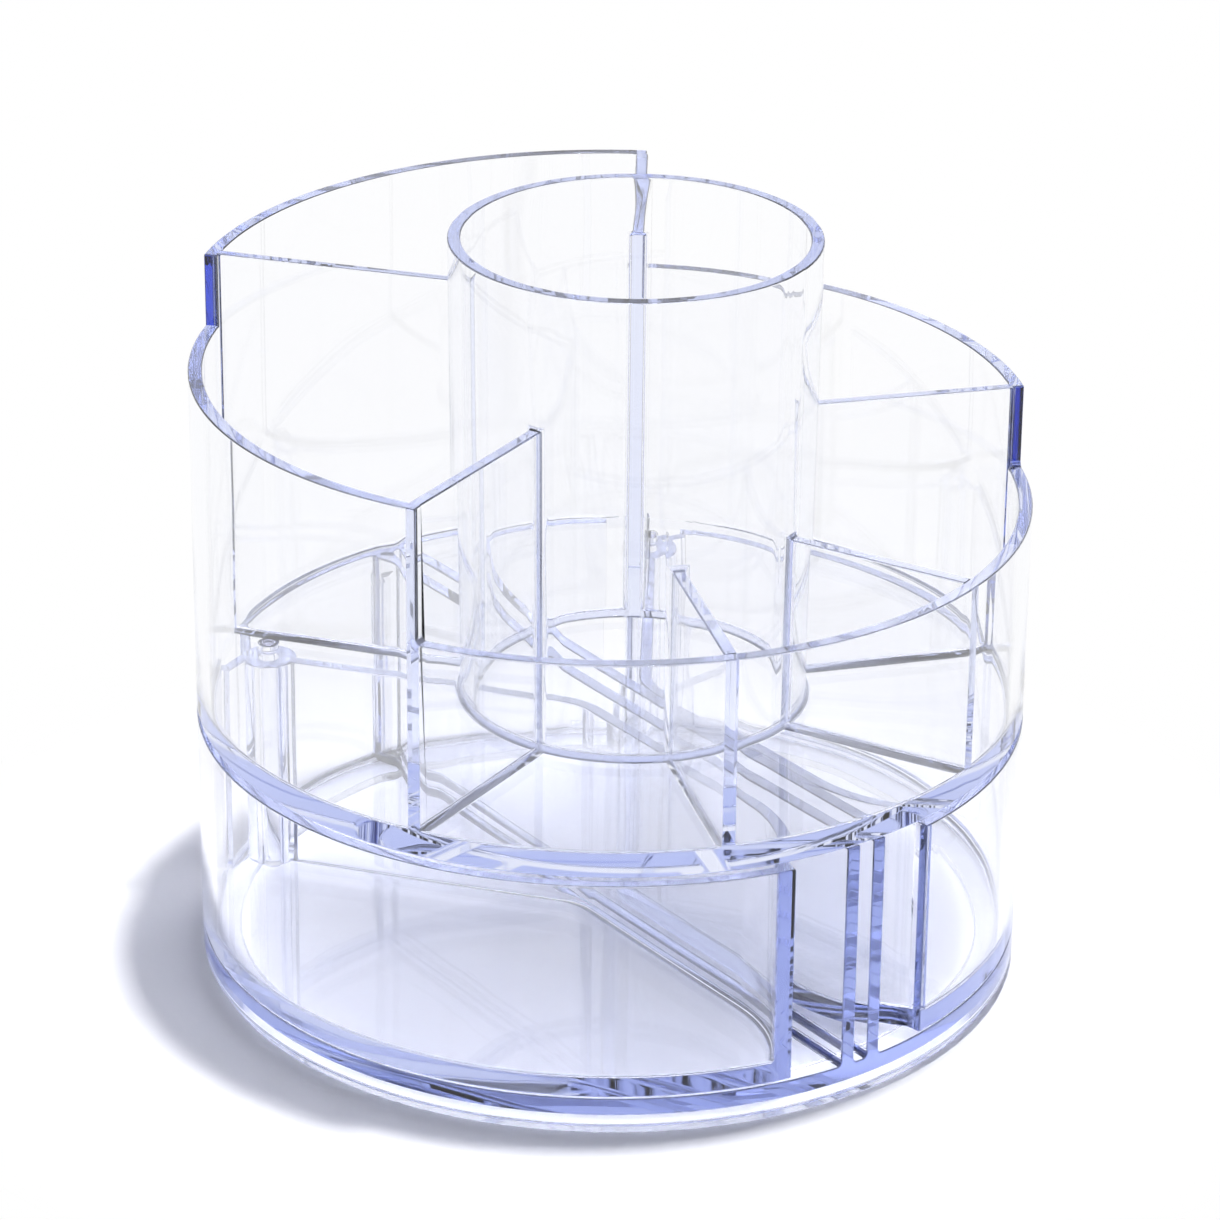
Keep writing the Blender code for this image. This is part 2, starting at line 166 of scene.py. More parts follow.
# %% [markdown]
# Clear plastic shows what is around it, so the world is plain white wherever it is seen, directly, through the
# plastic or by reflection. The light that it throws on the sheet is set apart from that. Light that has crossed
# the plastic counts for more there, because the renderer follows few of its paths and would leave a dark patch
# where the real, clear object lets most of the light through.

# %% White world
SHADOW_LIGHT = "#F1F3FF"    # the shadow on the sheet is a lavender grey
WORLD_LIGHT = 0.3
LIGHT_THROUGH_PLASTIC = 8.5
BEFORE_PAPER = 0.5          # a path that has met the sheet has a diffuse depth of 1 or more
world = bpy.data.worlds.new("white_studio")
bpy.context.scene.world = world
world.use_nodes = True
tree = world.node_tree
tree.nodes.clear()
path = add_node(tree, "ShaderNodeLightPath")
seen = add_node(tree, "ShaderNodeMath", {"operation": "LESS_THAN"})
tree.links.new(path.outputs["Diffuse Depth"], seen.inputs[0])
seen.inputs[1].default_value = BEFORE_PAPER
strength = add_node(tree, "ShaderNodeMapRange", {"To Min": WORLD_LIGHT, "To Max": LIGHT_THROUGH_PLASTIC},
                    Value=path.outputs["Is Transmission Ray"])
lit = add_node(tree, "ShaderNodeBackground", {"Color": linear(SHADOW_LIGHT)},
               Strength=strength.outputs["Result"])
shown = add_node(tree, "ShaderNodeBackground", {"Color": linear("#FFFFFF"), "Strength": 1.0})
mix = add_node(tree, "ShaderNodeMixShader")
tree.links.new(seen.outputs[0], mix.inputs[0])
tree.links.new(lit.outputs[0], mix.inputs[1])
tree.links.new(shown.outputs[0], mix.inputs[2])
output = add_node(tree, "ShaderNodeOutputWorld")
tree.links.new(mix.outputs[0], output.inputs["Surface"])
print("world light on the sheet", WORLD_LIGHT, "and through the plastic", LIGHT_THROUGH_PLASTIC)

# %% [markdown]
# The shadow is a soft crescent at the lower left, so the lamp stood high up and a little to the right and back.
# A square area lamp stands for its soft box. It isn't seen through the plastic, where its small bright square
# would only make speckles.

# %% Lamp
LAMP_PLACE = Vector((150.0, 25.0, 1900.0)) * MM
LAMP_SIZE = 100.0 * MM
LAMP_POWER = 28.0           # watts
deselect()
bpy.ops.object.light_add(type="AREA", location=LAMP_PLACE)
lamp = bpy.context.object
lamp.name = "soft_box"
lamp.data.shape = "SQUARE"
lamp.data.size = LAMP_SIZE
lamp.data.energy = LAMP_POWER
lamp.visible_transmission = False
lamp.rotation_euler = (-LAMP_PLACE).to_track_quat("-Z", "Y").to_euler()
print("lamp", LAMP_POWER, "W at", round(LAMP_PLACE.length, 2), "m")

# %% [markdown]
# Clear plastic for boxes like this is usually polystyrene or acrylic, moulded against polished steel. It bends
# light strongly and is almost colourless across a 3 mm wall, but along a wall, from edge to edge, light crosses
# centimetres of it. That is why the edges look lavender blue. The tint therefore sits inside the plastic, as
# absorption, and not on its surface.

# %% Clear plastic
SCUFF_SIZE = 9.0 * MM       # patches that hands have dulled, about as wide as a fingertip
SCUFFS_FROM, SCUFFS_TO = 0.62, 0.8      # only the peaks of the noise count, so most of the surface is polished
FLOW_SIZE = 22.0 * MM       # the slow waviness that plastic keeps from flowing into its mould


def clear_plastic(name, ior, tint, density, haze, ripple):
    """Make moulded clear plastic: tint and density colour its inside, haze and ripple its surface."""
    material = bpy.data.materials.new(name)
    material.use_nodes = True
    tree = material.node_tree
    shader = tree.nodes["Principled BSDF"]
    shader.inputs["Base Color"].default_value = linear("#FFFFFF")
    shader.inputs["Transmission Weight"].default_value = 1.0
    shader.inputs["IOR"].default_value = ior
    place = add_node(tree, "ShaderNodeTexCoord")
    scuffs = add_node(tree, "ShaderNodeTexNoise", {"Scale": 1 / SCUFF_SIZE, "Detail": 2.0, "Roughness": 0.6},
                      Vector=place.outputs["Object"])
    amount = add_node(tree, "ShaderNodeMapRange", {"From Min": SCUFFS_FROM, "From Max": SCUFFS_TO,
                                                   "To Min": 0.0, "To Max": haze}, Value=scuffs.outputs["Fac"])
    tree.links.new(amount.outputs["Result"], shader.inputs["Roughness"])
    flow = add_node(tree, "ShaderNodeTexNoise", {"Scale": 1 / FLOW_SIZE, "Detail": 0.0},
                    Vector=place.outputs["Object"])
    bump = add_node(tree, "ShaderNodeBump", {"Strength": 1.0, "Distance": ripple},
                    Height=flow.outputs["Fac"])
    tree.links.new(bump.outputs["Normal"], shader.inputs["Normal"])
    inside = add_node(tree, "ShaderNodeVolumeAbsorption", {"Color": linear(tint), "Density": density})
    tree.links.new(inside.outputs["Volume"], tree.nodes["Material Output"].inputs["Volume"])
    return material


# %% [markdown]
# Polystyrene, as moulded for boxes, has an IOR near 1.57 to 1.59: its edges flash more than glass. The tray looks
# clearest. The base and the drawers are seen through more layers, and their tint is a little deeper. The pins
# look like plain rod, for which acrylic, with an IOR of 1.49, is the usual plastic. It is turned and then
# polished, so it is duller than a moulded face.

# %% The four plastics
POLYSTYRENE_IOR, ACRYLIC_IOR = 1.57, 1.49
MOULD_RIPPLE, ROD_RIPPLE = 0.05 * MM, 0.02 * MM
# The tray's plastic gives nearly colourless faces with blue edges, and the fewest scuffs.
tray_plastic = clear_plastic("moulded_clear_polystyrene_tray", POLYSTYRENE_IOR, "#6A94F2", 4.8, 0.02,
                             MOULD_RIPPLE)
# The base's plastic gives the deeper blue of the divider's and the casing's edges.
base_plastic = clear_plastic("moulded_clear_polystyrene_base", POLYSTYRENE_IOR, "#6490EC", 7.0, 0.03,
                             MOULD_RIPPLE)
# The drawers' plastic gives the same deeper blue, a little more violet.
drawer_plastic = clear_plastic("moulded_clear_polystyrene_drawer", POLYSTYRENE_IOR, "#6490F0", 7.0, 0.03,
                               MOULD_RIPPLE)
# The rod gives a violet line down each hinge, and a slightly dull head.
pin_plastic = clear_plastic("turned_acrylic_rod", ACRYLIC_IOR, "#8088E0", 6.0, 0.05, ROD_RIPPLE)
print("plastics", [plastic.name for plastic in (tray_plastic, base_plastic, drawer_plastic, pin_plastic)])

# %% [markdown]
# The round walls are circles of straight facets. Where a flat panel met such a wall at a corner between two
# facets, the joint would have a step that bends light. So each circle is drawn as spokes that leave one wider
# flat at each panel. Finer facets everywhere would do it too, but with many more faces.

# %% Round outlines
def spokes(marks, half, step):
    """Return angles in degrees around a circle, with a flat of twice half at each mark, and steps between."""
    marks = sorted(mark % 360 for mark in marks)
    angles = []
    for index, mark in enumerate(marks):
        following = marks[(index + 1) % len(marks)] + (360 if index + 1 == len(marks) else 0)
        start, end = mark + half, following - half
        count = max(1, math.ceil((end - start) / step))
        angles += [start + (end - start) * i / count for i in range(count + 1)]
    return angles


def on_polygon(radius, angles, degrees):
    """Return the point at an angle on the straight edge between the two spokes beside it."""
    for first, second in zip(angles, angles[1:] + [angles[0] + 360]):
        turned = first + (degrees - first) % 360
        if turned <= second:
            half = (second - first) / 2
            scale = math.cos(math.radians(half)) / math.cos(math.radians(turned - first - half))
            return polar(radius * scale, degrees)


# %% [markdown]
# By hand, faces are clicked before an operator works on them. In code, each face's middle and direction are put
# to a test instead, which picks the same faces each time.

# %% Selecting faces
UPWARD = 0.9                # a face whose normal points up more than this is level


def start_edit(piece, mode):
    """Go to edit mode with nothing selected, in vertex, edge or face mode."""
    deselect()
    piece.select_set(True)
    bpy.context.view_layer.objects.active = piece
    bpy.ops.object.mode_set(mode="EDIT")
    bpy.ops.mesh.select_mode(type=mode)
    bpy.ops.mesh.select_all(action="DESELECT")
    return bmesh.from_edit_mesh(piece.data)


def pick_faces(piece, test):
    """Select the faces whose middle and normal pass a test, and say how many."""
    bm = bmesh.from_edit_mesh(piece.data)
    for face in bm.faces:
        face.select_set(test(face.calc_center_median(), face.normal))
    bm.select_flush_mode()
    bmesh.update_edit_mesh(piece.data)
    return sum(face.select for face in bm.faces)


# %% [markdown]
# Bonded or moulded, the real panels meet with nothing between them. Two blocks that only touch would show a
# surface where they meet, so they are joined by an exact Boolean, which clears away what lies inside. Their
# places go into their meshes first, because the plastic's patterns are measured from the object's origin.

# %% Placing and joining
def apply_place(piece):
    """Put the object at the origin and its place into its mesh."""
    deselect()
    piece.select_set(True)
    bpy.context.view_layer.objects.active = piece
    bpy.ops.object.transform_apply(location=True, rotation=True, scale=True)


def boolean(piece, tool, operation):
    """Join a tool to a piece, or cut it out, and delete the tool."""
    deselect()
    bpy.context.view_layer.objects.active = piece
    piece.select_set(True)
    modifier = piece.modifiers.new("boolean", "BOOLEAN")
    modifier.operation = operation
    modifier.solver = "EXACT"
    modifier.object = tool
    bpy.ops.object.modifier_apply(modifier=modifier.name)
    bpy.data.objects.remove(tool)


# %% [markdown]
# A moulding has a small fillet in each inner corner, where the plastic flowed round, and an edge that the light
# catches on each outer one. Both are bevels. The inner corners go first, because they are the larger ones. The
# second material slot marks the rounded faces for the next helper.

# %% Fillets and soft edges
SHARP = math.radians(40)    # edges that turn less than this are part of a curve
COPLANAR = math.radians(0.5)
FILLET_STEPS, EDGE_STEPS = 4, 2
SOFT_EDGE = 0.35 * MM


def soften(piece, fillet, edge, fillet_test):
    """Round the inner corners that pass a test, and take the sharpness off the outer edges."""
    piece.data.materials.clear()
    for _ in range(2):
        piece.data.materials.append(None)
    start_edit(piece, "FACE")
    bpy.ops.mesh.select_all(action="SELECT")
    bpy.ops.mesh.remove_doubles(threshold=TINY)
    bpy.ops.mesh.normals_make_consistent(inside=False)
    bpy.ops.mesh.dissolve_limited(angle_limit=COPLANAR)
    for inner, width, steps in ((True, fillet, FILLET_STEPS), (False, edge, EDGE_STEPS)):
        bm = start_edit(piece, "EDGE")
        count = 0
        for e in bm.edges:
            if len(e.link_faces) != 2 or abs(e.calc_face_angle(0.0)) < SHARP:
                continue
            hollow = e.calc_face_angle_signed(0.0) < 0
            if hollow == inner and (not inner or fillet_test(e)):
                e.select_set(True)
                count += 1
        bmesh.update_edit_mesh(piece.data)
        if count:
            bpy.ops.mesh.bevel(offset=width, segments=steps, profile=0.5, clamp_overlap=False,
                               affect="EDGES", material=1)
        print(piece.name, "inner" if inner else "outer", "edges softened:", count)
    bpy.ops.object.mode_set(mode="OBJECT")


# %% [markdown]
# Smooth shading blends normals over whole faces. On a large flat face of clear plastic that bends the light and
# draws streaks. So flat faces keep their own normal, facets of one curve share theirs, and only the narrow
# rounded faces blend. Where two sides don't agree, the edge is marked sharp, or the normals wouldn't be kept.

# %% True normals
ONE_CURVE = math.cos(math.radians(12))
ROUNDED = 0.5               # cosine: neighbours up to 60 degrees apart share a rounded edge
SAME = 0.99999


def hold_normals(piece):
    """Keep flat and curved faces true, and let only the rounded edges between them turn the light."""
    mesh = piece.data
    around = [[] for _ in mesh.vertices]
    for face in mesh.polygons:
        for corner in face.vertices:
            around[corner].append(face)
    normals = []
    at_edge = {}
    for face in mesh.polygons:
        turned = {}
        for corner in face.vertices:
            if face.material_index == 0:
                near = [other for other in around[corner] if other.material_index == 0
                        and other.normal.dot(face.normal) > ONE_CURVE]
            else:
                near = [other for other in around[corner] if other.normal.dot(face.normal) > ROUNDED]
                near = [other for other in near if other.material_index == 0] or near
            turned[corner] = sum((other.normal * other.area for other in near), Vector()).normalized()
            normals.append(turned[corner])
        for edge in face.edge_keys:
            at_edge.setdefault(edge, []).append([turned[corner] for corner in edge])
    for edge in mesh.edges:
        sides = at_edge[edge.key]
        edge.use_edge_sharp = len(sides) != 2 or any(a.dot(b) < SAME for a, b in zip(*sides))
    mesh.normals_split_custom_set(normals)


# %% [markdown]
# A finished piece gets its name and its plastic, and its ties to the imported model: the body that it moves with
# and the CAD nodes that it stands for. The print says how many edges are open, because light that enters a clear
# shape by a hole is coloured wrongly, and what volume of plastic it holds.

# %% Finishing a piece
def finish_piece(piece, name, material, slot, body, *nodes):
    """Name a finished piece, give it its plastic, and let it ride and stand for its CAD nodes."""
    deselect()
    piece.select_set(True)
    bpy.context.view_layer.objects.active = piece
    bpy.ops.object.shade_smooth()
    hold_normals(piece)
    piece.name = name
    piece.data.name = name
    piece.data.materials.clear()
    piece.data.materials.append(material)
    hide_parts(*nodes)
    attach(piece, body)
    bm = bmesh.new()
    bm.from_mesh(piece.data)
    loose = sum(not e.is_manifold for e in bm.edges)
    print(name, len(piece.data.polygons), "faces", loose, "open edges, volume",
          round(bm.calc_volume() * 1e6, 1), "cm3")
    bm.free()


# %% [markdown]
# The tray has a floor, six partitions around a tube that stands a little off the middle, and an outer wall whose
# rim steps down from the back to the front right. Its sizes were read from the photograph with the fitted camera.
# The disc that it starts from has a corner at each step of the rim.

# %% Tray: sizes and disc
SHELL_RADIUS, SHELL_WALL = 89.0 * MM, 3.0 * MM
SPOKE_STEP = 2.5            # degrees
TRAY_BOTTOM, TRAY_TOP = 59.4 * MM, 63.6 * MM
TUBE_X, TUBE_Y = 4.4 * MM, -5.3 * MM
WALL_FLAT = 2.0             # degrees on each side of a panel
PANELS = {14: 124.6, 89: 151.2, 164: 151.2, 239: 135.2, 284: 106.2, 329: 106.2}    # direction: top in mm
RIM_STEPS = {"right": 9.6, "back": 85.4, "left": 167.9, "front": 244.3}            # degrees where each begins
RIM_STAGES = ((106.2, "right", "right"), (124.6, "right", "front"), (135.2, "back", "front"),
              (151.2, "back", "left"))                                             # top in mm, from, to


def panel_reach(degrees, radius):
    """Return how far a panel runs from the tube's middle to a circle about the organizer's middle."""
    middle = Vector((TUBE_X, TUBE_Y, 0))
    along = -middle.dot(polar(1.0, degrees))
    return along + math.sqrt(along ** 2 + radius ** 2 - middle.length_squared)


def ring_between(start, end):
    """Return a test for upward faces on the wall's ring between two angles in degrees."""
    def test(middle, normal):
        angle = math.degrees(math.atan2(middle.y, middle.x)) % 360
        radius = math.hypot(middle.x, middle.y)
        return (normal.z > UPWARD and radius > SHELL_RADIUS - SHELL_WALL and middle.z > TRAY_TOP - SMALL
                and (start == end or (angle - start) % 360 < (end - start) % 360))
    return test


def disc(bottom, top, marks, half, extra):
    """Add a disc whose spokes leave a flat at each mark, with extra corners on its straight edges."""
    angles = spokes(marks, half, SPOKE_STEP)
    corners = sorted([(a % 360, polar(SHELL_RADIUS, a)) for a in angles]
                     + [(a, on_polygon(SHELL_RADIUS, angles, a)) for a in extra])
    deselect()
    bpy.ops.mesh.primitive_cylinder_add(vertices=len(corners), radius=SHELL_RADIUS, depth=top - bottom,
                                        location=(0, 0, (top + bottom) / 2), rotation=(0, 0, 0))
    piece = bpy.context.object
    apply_place(piece)
    for level in (bottom, top):
        ring = [v for v in piece.data.vertices if abs(v.co.z - level) < TINY]
        ring.sort(key=lambda v: math.atan2(v.co.y, v.co.x) % math.tau)
        for vertex, (_, corner) in zip(ring, corners):
            vertex.co.xy = corner.xy
    return piece


print("tray floor", round((TRAY_TOP - TRAY_BOTTOM) / MM, 1), "mm thick,", len(PANELS), "partitions")

# %% [markdown]
# The disc's top is inset by the wall's thickness, and the rim that this leaves is pulled up in four stages, each
# time without the stretch that has reached its height. Pulling the stretches up one by one would leave hidden
# faces between them.

# %% Tray: stepped wall
WALL_MARKS = []
for degrees in PANELS:
    reach = panel_reach(degrees, SHELL_RADIUS - SHELL_WALL)
    meeting = Vector((TUBE_X, TUBE_Y, 0)) + polar(reach, degrees)
    WALL_MARKS.append(math.degrees(math.atan2(meeting.y, meeting.x)) % 360)
print("panels meet the wall at", [round(mark, 1) for mark in WALL_MARKS])
tray = disc(TRAY_BOTTOM, TRAY_TOP, WALL_MARKS, WALL_FLAT, RIM_STEPS.values())
start_edit(tray, "FACE")
pick_faces(tray, lambda middle, normal: normal.z > UPWARD)
bpy.ops.mesh.inset(thickness=SHELL_WALL)
level = TRAY_TOP
for top, first, last in RIM_STAGES:
    start_edit(tray, "FACE")
    on_rim = ring_between(RIM_STEPS[first], RIM_STEPS[last])
    picked = pick_faces(tray, lambda middle, normal: abs(middle.z - level) < TINY and on_rim(middle, normal))
    bpy.ops.mesh.extrude_region_move(TRANSFORM_OT_translate={"value": (0, 0, top * MM - level)})
    print("rim to", top, "mm:", picked, "faces")
    level = top * MM
bpy.ops.object.mode_set(mode="OBJECT")

# %% [markdown]
# The brush tube is an open cone, a little wider at its rim so that it leaves the mould, and Solidify gives it its
# wall. It is sunk a little into the floor, so that joining the two leaves no gap.

# %% Tray: tube
TUBE_RIM, TUBE_WALL = 165.0 * MM, 2.8 * MM
TUBE_FOOT_RADIUS, TUBE_RIM_RADIUS = 38.0 * MM, 39.0 * MM
TUBE_FLAT, TUBE_STEP = 4.2, 4.5     # degrees
SINK = 0.9 * MM             # how far a piece is sunk into the one that it is joined to

deselect()
tube_angles = spokes(PANELS, TUBE_FLAT, TUBE_STEP)
bpy.ops.mesh.primitive_cone_add(vertices=len(tube_angles), radius1=TUBE_FOOT_RADIUS, radius2=TUBE_RIM_RADIUS,
                                depth=TUBE_RIM - TRAY_TOP + SINK, end_fill_type="NOTHING",
                                location=(0, 0, (TUBE_RIM + TRAY_TOP - SINK) / 2))
tube = bpy.context.object
apply_place(tube)
for radius, level in ((TUBE_FOOT_RADIUS, TRAY_TOP - SINK), (TUBE_RIM_RADIUS, TUBE_RIM)):
    ring = sorted((v for v in tube.data.vertices if abs(v.co.z - level) < TINY),
                  key=lambda v: math.atan2(v.co.y, v.co.x) % math.tau)
    for vertex, degrees in zip(ring, sorted(a % 360 for a in tube_angles)):
        vertex.co.xy = polar(radius, degrees).xy + Vector((TUBE_X, TUBE_Y))
solidify = tube.modifiers.new("wall", "SOLIDIFY")
solidify.thickness = TUBE_WALL
solidify.offset = -1.0
bpy.ops.object.modifier_apply(modifier=solidify.name)
apply_place(tube)
boolean(tray, tube, "UNION")
print("tube", len(tube_angles), "facets")

# %% [markdown]
# The partitions are flat panels. Each is a thin block that reaches from inside the tube's wall to inside the
# outer wall, and up to the height of the rim beside it.

# %% Tray: partitions
PANEL = 2.7 * MM
INTO_TUBE, INTO_WALL = 37.0 * MM, 0.5 * MM      # from the tube's middle; past the wall's inner face
for degrees, top in PANELS.items():
    heading = polar(1.0, degrees)
    middle = Vector((TUBE_X, TUBE_Y, 0))
    reach_to = panel_reach(degrees, SHELL_RADIUS - SHELL_WALL + INTO_WALL)
    size = (reach_to - INTO_TUBE, PANEL, top * MM - TRAY_TOP + SINK)
    place = middle + heading * (INTO_TUBE + reach_to) / 2
    deselect()
    bpy.ops.mesh.primitive_cube_add(size=1.0, location=(place.x, place.y, (top * MM + TRAY_TOP - SINK) / 2),
                                    rotation=(0, 0, math.radians(degrees)), scale=size)
    panel = bpy.context.object
    apply_place(panel)
    boolean(tray, panel, "UNION")
    print("partition at", degrees, "degrees,", round(size[0] / MM, 1), "mm long")

# %% [markdown]
# Two pins hold the drawers, and their heads show in the tray's floor, so the floor and the base get a hole for
# each.

# %% Pin holes
PIN_PLACES = {"left": Vector((-75.244, 13.810, 0.0)) * MM, "back": Vector((9.588, 75.897, 0.0)) * MM}
PIN_RADIUS, BORE_RADIUS = 1.9 * MM, 2.2 * MM
PIN_FACETS = 48
PIN_CLEARANCE = 15.5 * MM   # nearer to a pin, walls and bores are too close together for a fillet


def drill(piece, place, bottom, top):
    """Cut an upright hole for a pin."""
    deselect()
    bpy.ops.mesh.primitive_cylinder_add(vertices=PIN_FACETS, radius=BORE_RADIUS, depth=top - bottom,
                                        location=(place.x, place.y, (top + bottom) / 2))
    drill_bit = bpy.context.object
    apply_place(drill_bit)
    boolean(piece, drill_bit, "DIFFERENCE")


def away_from_pins(edge):
    """Leave the edges of the pins' holes, barrels and the walls' ends beside them without a fillet."""
    middle = (edge.verts[0].co + edge.verts[1].co) / 2
    return all((middle - place).xy.length > PIN_CLEARANCE for place in PIN_PLACES.values())


for place in PIN_PLACES.values():
    drill(tray, place, TRAY_BOTTOM - MARGIN, TRAY_TOP + MARGIN)
print("bores", round(2 * BORE_RADIUS / MM, 1), "mm wide for pins of", round(2 * PIN_RADIUS / MM, 1), "mm")

# %% [markdown]
# The inner corners are rounded, as soft lines in the photograph show. Where a partition and the outer wall end at
# one height, a fillet up their corner would run out past their tops, so that corner stays sharp.

# %% Finishing the tray
TRAY_FILLET = 1.2 * MM


def tray_fillet(edge):
    """Leave out the upright corners too where a partition meets the wall, because both end at one height."""
    at_wall = all(corner.co.xy.length > SHELL_RADIUS - SHELL_WALL - MARGIN for corner in edge.verts)
    upright = abs(edge.verts[0].co.z - edge.verts[1].co.z) > MARGIN
    return away_from_pins(edge) and not (at_wall and upright)


soften(tray, TRAY_FILLET, SOFT_EDGE, tray_fillet)
finish_piece(tray, "tray_moulding", tray_plastic, "tray_plastic", "organizer", "tray_floor", "tray_outer_wall",
             "brush_tube", "partition_right", "partition_back", "partition_left", "partition_front_left",
             "partition_front", "partition_front_right")

# %% [markdown]
# The base is a disc that stands on a ring near its edge, so that only the ring touches the table. The ring is two
# insets on the underside, and what lies between them is pulled down.

# %% Base disc and foot ring
BASE_TOP = 8.7 * MM
FOOT_HEIGHT, FOOT_INSET, FOOT_WIDTH = 2.2 * MM, 1.3 * MM, 7.1 * MM
CASING_FROM, CASING_TO = 91.35, 161.05          # degrees
DIVIDER_ANGLE = -53.8                           # degrees
BACK_RIBS = 2.2             # degrees from the divider's line to the middle of each rib, where it meets the casing
BASE_FLAT = 2.15            # degrees on each side of a rib

base_marks = [DIVIDER_ANGLE, DIVIDER_ANGLE + 180 - BACK_RIBS, DIVIDER_ANGLE + 180 + BACK_RIBS]
base = disc(FOOT_HEIGHT, BASE_TOP, base_marks, BASE_FLAT, (CASING_FROM, CASING_TO))
start_edit(base, "FACE")
pick_faces(base, lambda middle, normal: normal.z < -UPWARD)
bpy.ops.mesh.inset(thickness=FOOT_INSET)
bpy.ops.mesh.inset(thickness=FOOT_WIDTH)
ring_inner = SHELL_RADIUS - FOOT_INSET - FOOT_WIDTH
ring_outer = SHELL_RADIUS - FOOT_INSET
picked = pick_faces(
    base, lambda middle, normal: normal.z < -UPWARD and ring_inner < middle.xy.length < ring_outer)
bpy.ops.mesh.extrude_region_move(TRANSFORM_OT_translate={"value": (0, 0, -FOOT_HEIGHT)})
print("foot ring faces", picked)

# %% [markdown]
# A low arc of casing closes the lower tier at the back left, where no drawer runs. It is pulled up from the
# disc's own edge, as the tray's wall was, so wall and floor are one shape.

# %% Casing
CASING_TOP = 59.1 * MM


def casing_ring(middle, normal):
    """Pick the upward ring faces of the casing."""
    angle = math.degrees(math.atan2(middle.y, middle.x)) % 360
    return (normal.z > UPWARD and middle.xy.length > SHELL_RADIUS - SHELL_WALL
            and CASING_FROM < angle < CASING_TO)


start_edit(base, "FACE")
pick_faces(base, lambda middle, normal: normal.z > UPWARD)
bpy.ops.mesh.inset(thickness=SHELL_WALL)
picked = pick_faces(base, casing_ring)
bpy.ops.mesh.extrude_region_move(TRANSFORM_OT_translate={"value": (0, 0, CASING_TOP - BASE_TOP)})
print("casing faces", picked)
bpy.ops.object.mode_set(mode="OBJECT")

# %% [markdown]
# The divider is two upright ribs with a narrow channel between them. They are thin blocks, longer than they need
# to be, and a cylinder that is a hair smaller than the shell trims what stands out, so that their ends follow
# the round edge.

# %% Divider ribs
RIB_NEAR, RIB_FAR = 1.7 * MM, 4.9 * MM          # from the divider's line
RIB_BACK, RIB_FRONT = -86.5 * MM, 92.0 * MM     # along it
TRIM_RADIUS, TRIM_FACETS = 88.95 * MM, 144
TRIM_HEIGHT, TRIM_MIDDLE = 80.0 * MM, 35.0 * MM
for side in (-1, 1):
    place = Matrix.Rotation(math.radians(DIVIDER_ANGLE), 4, "Z") @ Vector(
        ((RIB_BACK + RIB_FRONT) / 2, side * (RIB_NEAR + RIB_FAR) / 2, (CASING_TOP + BASE_TOP - SINK) / 2))
    deselect()
    size = (RIB_FRONT - RIB_BACK, RIB_FAR - RIB_NEAR, CASING_TOP - BASE_TOP + SINK)
    bpy.ops.mesh.primitive_cube_add(size=1.0, location=place, rotation=(0, 0, math.radians(DIVIDER_ANGLE)),
                                    scale=size)
    rib = bpy.context.object
    apply_place(rib)
    boolean(base, rib, "UNION")
deselect()
bpy.ops.mesh.primitive_cylinder_add(vertices=TRIM_FACETS, radius=TRIM_RADIUS, depth=TRIM_HEIGHT,
                                    location=(0, 0, TRIM_MIDDLE),
                                    rotation=(0, 0, math.radians(DIVIDER_ANGLE)))
trim = bpy.context.object
apply_place(trim)
boolean(base, trim, "INTERSECT")
print("base and ribs", len(base.data.polygons), "faces")

# %% [markdown]
# The pins stand in blind holes in the base. The inner corners above the plate are rounded. The foot ring's, which
# is under the plate and hardly seen, stays sharp.

# %% Finishing the base
SOCKET_DEPTH, BASE_FILLET = 3.0 * MM, 1.0 * MM


def base_fillet(edge):
    """Leave the foot ring's inner corner sharp, as it is under the base."""
    return away_from_pins(edge) and edge.verts[0].co.z > BASE_TOP - MARGIN


for place in PIN_PLACES.values():
    drill(base, place, BASE_TOP - SOCKET_DEPTH, BASE_TOP + MARGIN)
soften(base, BASE_FILLET, SOFT_EDGE, base_fillet)
finish_piece(base, "base_moulding", base_plastic, "base_plastic", "organizer", "base_plate", "casing_wall",
             "divider_rib_left", "divider_rib_right")

# %% [markdown]
# A drawer is an open box with a curved front, a lobe around its hinge and a bent wall along the divider. Its flat
# outline is drawn first, in the frame of the divider's line, because there the second drawer is a mirror image.

# %% Drawer outline
HINGE = Vector((-55.583, 52.562, 0.0)) * MM     # in the frame of the divider's line
OUTLINE = (      # middle of each arc, radius in mm, from and to in degrees, number of steps
    (Vector((0.0, 0.0, 0.0)), 89.0, 10.96, 132.1, 60),
    (Vector((0.0, 0.0, 0.0)), 86.0, 132.1, 132.1, 0),
    (HINGE / MM, 6.2, 157.66, 308.65, 18),
    (Vector((6.296, 22.25, 0.0)), 15.45, -127.82, -90.0, 8),
    (Vector((60.0, 42.25, 0.0)), 35.45, -90.0, -47.08, 8),
)


def outline_points(side):
    """Return the drawer's outline in the organizer's frame."""
    points = []
    for middle, radius, start, end, steps in OUTLINE:
        for i in range(steps + 1):
            point = (middle + polar(radius, start + (end - start) * i / max(steps, 1))) * MM
            point.y *= side
            points.append(Matrix.Rotation(math.radians(DIVIDER_ANGLE), 3, "Z") @ point)
    return points if side > 0 else points[::-1]


print("drawer outline", len(outline_points(1)), "corners")

# %% [markdown]
# The outline is given the floor's thickness and inset by the wall's thickness. The largest level face is then
# the inside of the floor, and the narrow ones around it are pulled up as the walls.

# %% Drawer walls
DRAWER_BOTTOM, DRAWER_FLOOR_TOP, DRAWER_TOP = 9.1 * MM, 12.1 * MM, 57.4 * MM
DRAWER_WALL = 2.95 * MM
SHORT_EDGE = 0.4 * MM       # the inset leaves an edge shorter than this at the sharp corner


